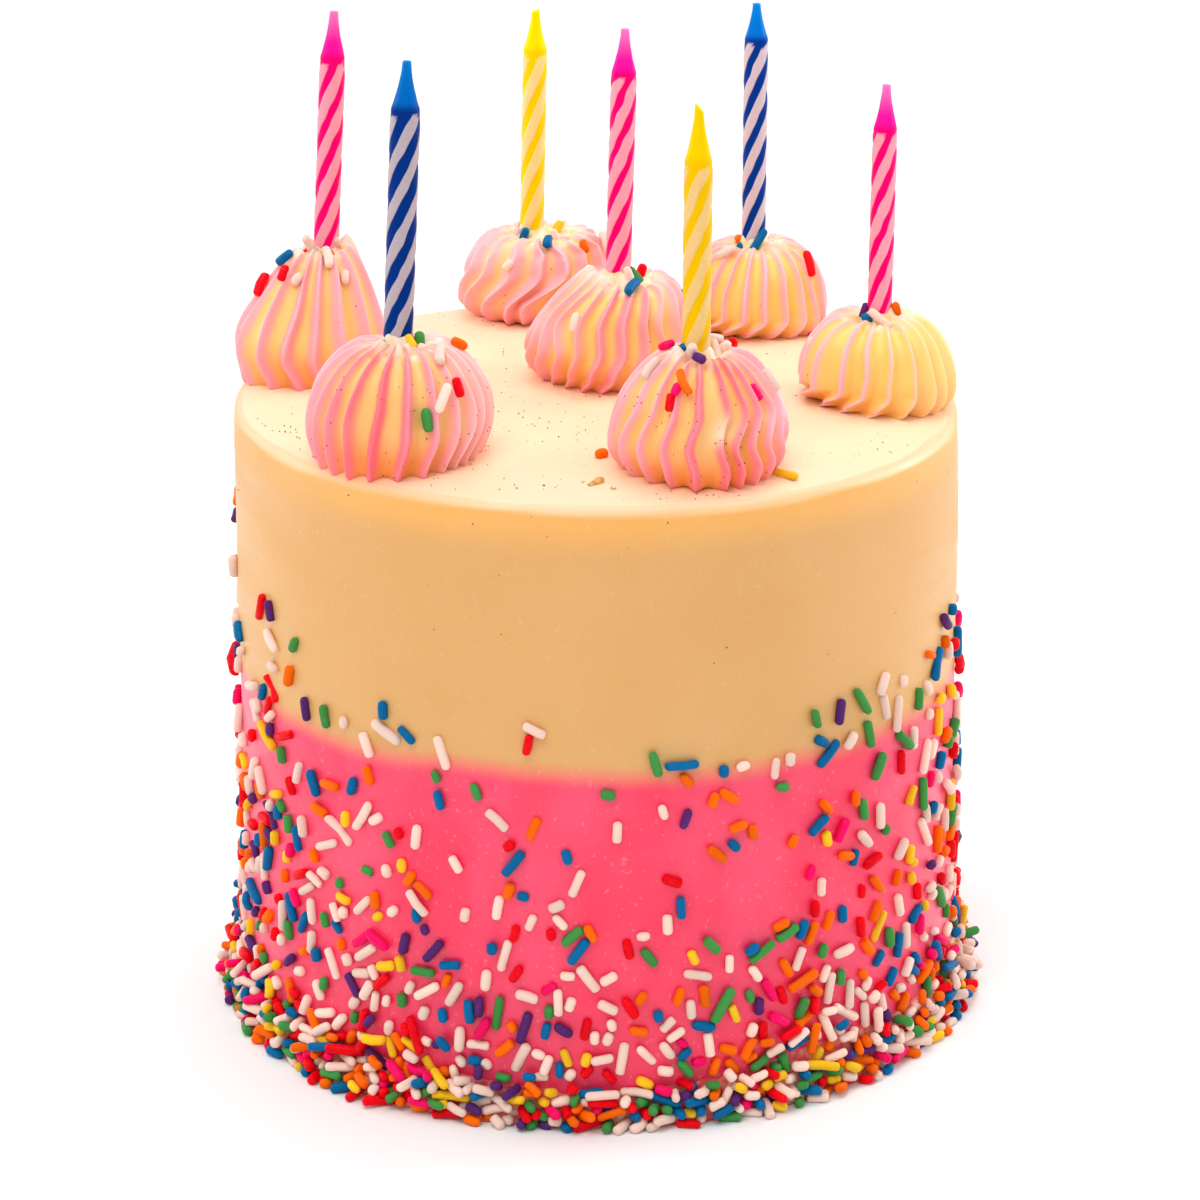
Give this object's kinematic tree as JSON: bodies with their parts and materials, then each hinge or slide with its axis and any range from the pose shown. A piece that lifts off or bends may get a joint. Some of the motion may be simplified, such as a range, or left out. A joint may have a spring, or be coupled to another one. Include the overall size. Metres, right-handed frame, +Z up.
{
  "type": "birthday cake with candles",
  "caption": "Tall round two-colour iced cake with piped rosettes on top, a twisted candle standing in each, and sprinkles heaped round its foot.",
  "frame": {"origin": "middle of the cake's underside, on the surface that it stands on", "axes": "+Z up, -Y towards the front with the two largest rosettes, +X to the right"},
  "size_m": [0.1486, 0.1466, 0.1926],
  "materials": {
    "pink_icing": null,
    "cream_icing": "cream buttercream, smooth and satin",
    "rosette_icing": "piped buttercream, cream with pink ridges, satin",
    "candle_pink": "pink wax with pale bands, semi-gloss",
    "candle_blue": "blue wax with pale bands, semi-gloss",
    "candle_yellow": "yellow wax with pale bands, semi-gloss",
    "sprinkles": "mixed sugar sprinkles, semi-gloss"
  },
  "bodies": {
    "root": {"cake_pink_layer": "pink_icing", "cake_cream_layer": "cream_icing", "rosette_1": "rosette_icing", "candle_1": "candle_pink", "rosette_2": "rosette_icing", "candle_2": "candle_blue", "rosette_3": "rosette_icing", "candle_3": "candle_yellow", "rosette_4": "rosette_icing", "candle_4": "candle_pink", "rosette_5": "rosette_icing", "candle_5": "candle_yellow", "rosette_6": "rosette_icing", "candle_6": "candle_blue", "rosette_7": "rosette_icing", "candle_7": "candle_pink", "sprinkle_border": "sprinkles"}
  },
  "joints": []
}
